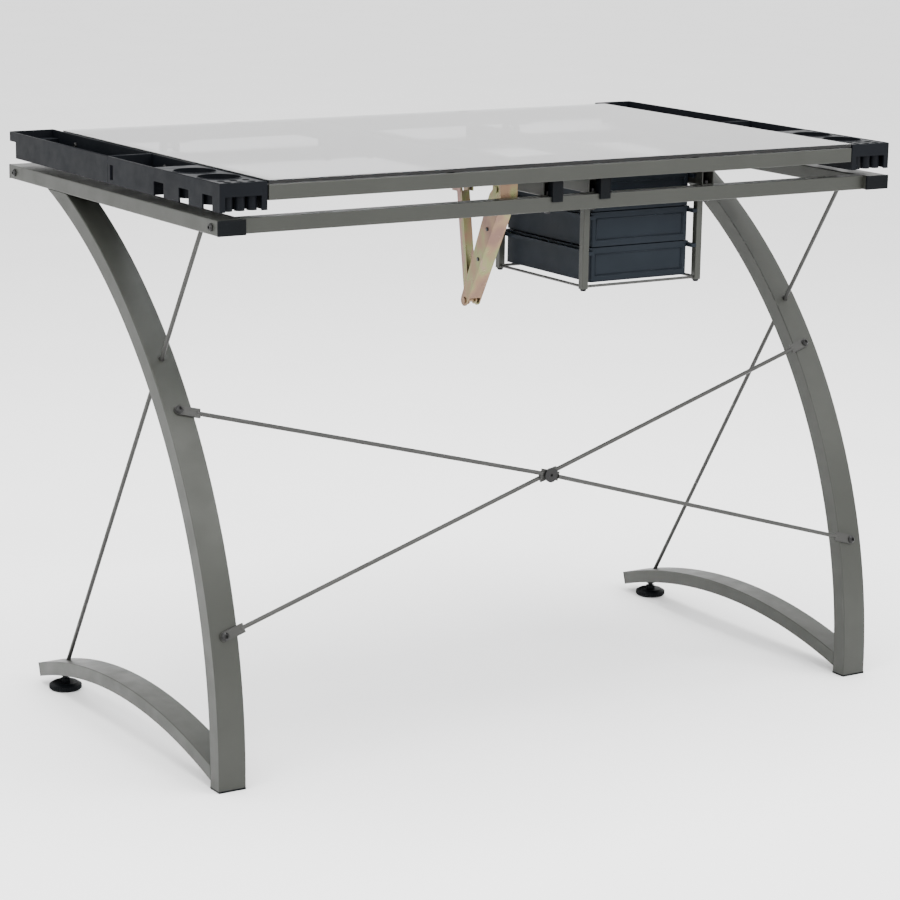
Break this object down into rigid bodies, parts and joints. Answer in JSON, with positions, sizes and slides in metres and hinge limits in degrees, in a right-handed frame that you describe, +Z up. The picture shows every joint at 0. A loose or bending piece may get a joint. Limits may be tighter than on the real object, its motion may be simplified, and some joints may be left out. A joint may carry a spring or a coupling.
{
  "type": "drafting table",
  "caption": "Tilting glass-topped drafting table on curved tube legs with crossed rods, side trays and hanging drawers.",
  "frame": {"origin": "centre of the footprint on the floor", "axes": "+X along the width, +Y towards the back edge, +Z up; the user sits at -Y"},
  "size_m": [1.099, 0.64, 0.8],
  "materials": {
    "frame_paint": "semi-gloss pewter paint",
    "rod_paint": "satin pewter paint",
    "fastener": "black oxide",
    "zinc": "yellow passivated zinc",
    "black_plastic": "moulded, matt",
    "tray_plastic": "moulded, fine grain",
    "drawer_plastic": "moulded, matt",
    "glass": "clear tempered, polished edge"
  },
  "bodies": {
    "base": {"side_rail_right": "frame_paint", "side_rail_left": "frame_paint", "cross_rail_rear": "frame_paint", "cross_rail_front": "frame_paint", "leg_right": "frame_paint", "leg_left": "frame_paint", "foot_right": "frame_paint", "foot_left": "frame_paint", "center_rail": "frame_paint", "cage_top_rail_right": "frame_paint", "cage_top_rail_left": "frame_paint", "cage_posts_right": "frame_paint", "cage_posts_left": "frame_paint", "hinge_lower_brackets": "frame_paint", "side_rod_right": "rod_paint", "side_rod_left": "rod_paint", "brace_rod_a": "rod_paint", "brace_rod_b": "rod_paint", "cage_cross_wires": "rod_paint", "rail_bolts": "fastener", "side_rod_nuts": "fastener", "brace_center_bolt": "fastener", "brace_screws": "fastener", "cage_bolts": "fastener", "hinge_pins": "fastener", "leveler_bushings": "fastener", "support_base_bracket": "zinc", "support_base_pin": "zinc", "rail_end_caps": "black_plastic", "cross_rail_inserts": "black_plastic", "leg_foot_plugs": "black_plastic", "foot_end_plugs": "black_plastic", "cage_post_caps": "black_plastic", "rest_block_right": "black_plastic", "rest_block_left": "black_plastic", "drawer_runners_right": "drawer_plastic", "drawer_runners_left": "drawer_plastic"},
    "top": {"top_rail_rear": "frame_paint", "top_rail_front": "frame_paint", "top_rail_right": "frame_paint", "top_rail_left": "frame_paint", "top_center_rail": "frame_paint", "glass_top": "glass", "glass_pads": "black_plastic", "tray_rear_right": "tray_plastic", "tray_rear_left": "tray_plastic", "tray_front_right": "tray_plastic", "tray_front_left": "tray_plastic", "tray_screws": "fastener", "support_top_bracket": "zinc", "hinge_upper_brackets": "frame_paint"},
    "lower_arm": {"support_lower_arm": "zinc", "support_knee_pin": "zinc", "ratchet_sector": "zinc"},
    "upper_arm": {"support_upper_arm": "zinc"},
    "drawer_upper_body": {"drawer_upper": "drawer_plastic"},
    "drawer_middle_body": {"drawer_middle": "drawer_plastic"},
    "drawer_lower_body": {"drawer_lower": "drawer_plastic"},
    "leveler_right_body": {"leveler_right": "black_plastic"},
    "leveler_left_body": {"leveler_left": "black_plastic"}
  },
  "joints": [
    {"name": "top_tilt", "type": "hinge", "parent": "base", "child": "top", "pos_m": [0, -0.3, 0.763], "axis": [1, 0, 0], "range_deg": [0, 30]},
    {"name": "arm_swing", "type": "hinge", "parent": "base", "child": "lower_arm", "pos_m": [0.092, 0.278, 0.762], "axis": [1, 0, 0], "range_deg": [-88.8, 0]},
    {"name": "arm_knee", "type": "hinge", "parent": "lower_arm", "child": "upper_arm", "pos_m": [0.092, 0.2, 0.6], "axis": [1, 0, 0], "range_deg": [0, 79.5]},
    {"name": "drawer_upper_slide", "type": "slide", "parent": "base", "child": "drawer_upper_body", "axis": [0, -1, 0], "range_m": [0, 0.16]},
    {"name": "drawer_middle_slide", "type": "slide", "parent": "base", "child": "drawer_middle_body", "axis": [0, -1, 0], "range_m": [0, 0.16]},
    {"name": "drawer_lower_slide", "type": "slide", "parent": "base", "child": "drawer_lower_body", "axis": [0, -1, 0], "range_m": [0, 0.16]},
    {"name": "leveler_right_turn", "type": "hinge", "parent": "base", "child": "leveler_right_body", "pos_m": [0.526, -0.195, 0], "axis": [0, 0, 1], "continuous": true},
    {"name": "leveler_left_turn", "type": "hinge", "parent": "base", "child": "leveler_left_body", "pos_m": [-0.526, -0.195, 0], "axis": [0, 0, 1], "continuous": true}
  ],
  "couplings": [
    {"joint": "arm_swing", "follows": "top_tilt", "ratio": -2.9583},
    {"joint": "arm_knee", "follows": "top_tilt", "ratio": 2.6485}
  ]
}
